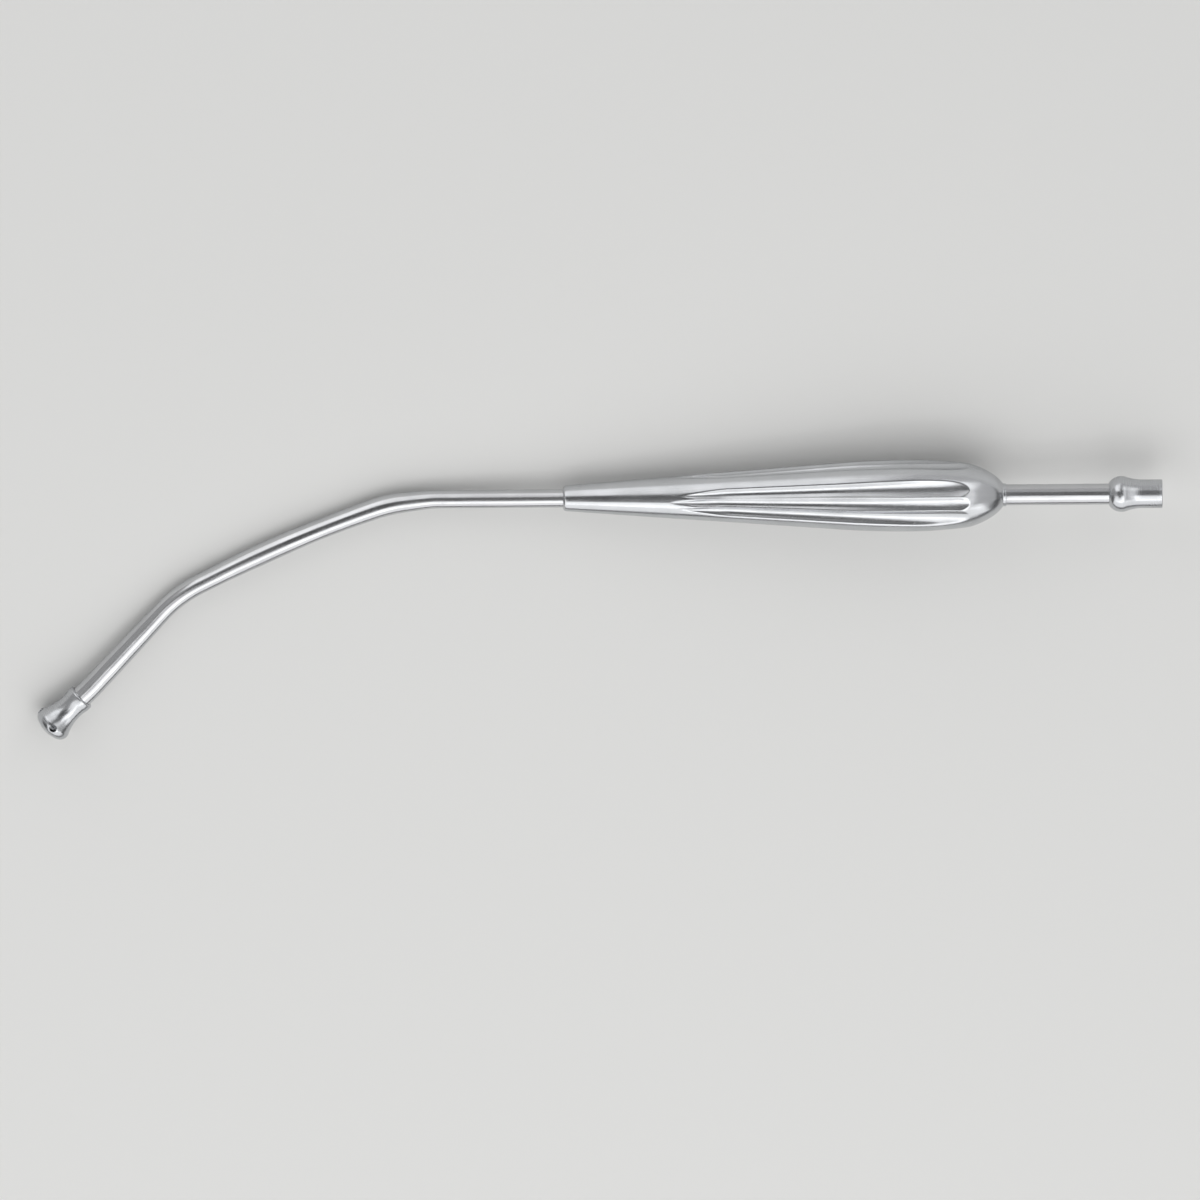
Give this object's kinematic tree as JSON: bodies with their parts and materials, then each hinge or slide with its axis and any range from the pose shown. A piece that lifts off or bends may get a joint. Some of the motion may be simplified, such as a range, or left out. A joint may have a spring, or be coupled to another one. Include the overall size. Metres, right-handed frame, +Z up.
{
  "type": "suction tube",
  "caption": "Reusable steel suction tube with a bent shaft, a perforated bulbous tip, a hollow fluted handle and a hose connector, soldered into one rigid instrument",
  "frame": {"origin": "centre of the bounding box at the surface that the instrument lies on", "axes": "+X from the suction tip towards the hose connector, +Z up from the surface it lies on; the suction head is on the -Y side of the handle's line"},
  "size_m": [0.2854, 0.0706, 0.019],
  "materials": {
    "tube_steel": "satin",
    "handle_steel": "satin",
    "head_steel": "satin"
  },
  "bodies": {
    "root": {"tip_head": "head_steel", "suction_tube": "tube_steel", "handle": "handle_steel", "rear_tube": "tube_steel", "hose_connector": "head_steel"}
  },
  "joints": []
}
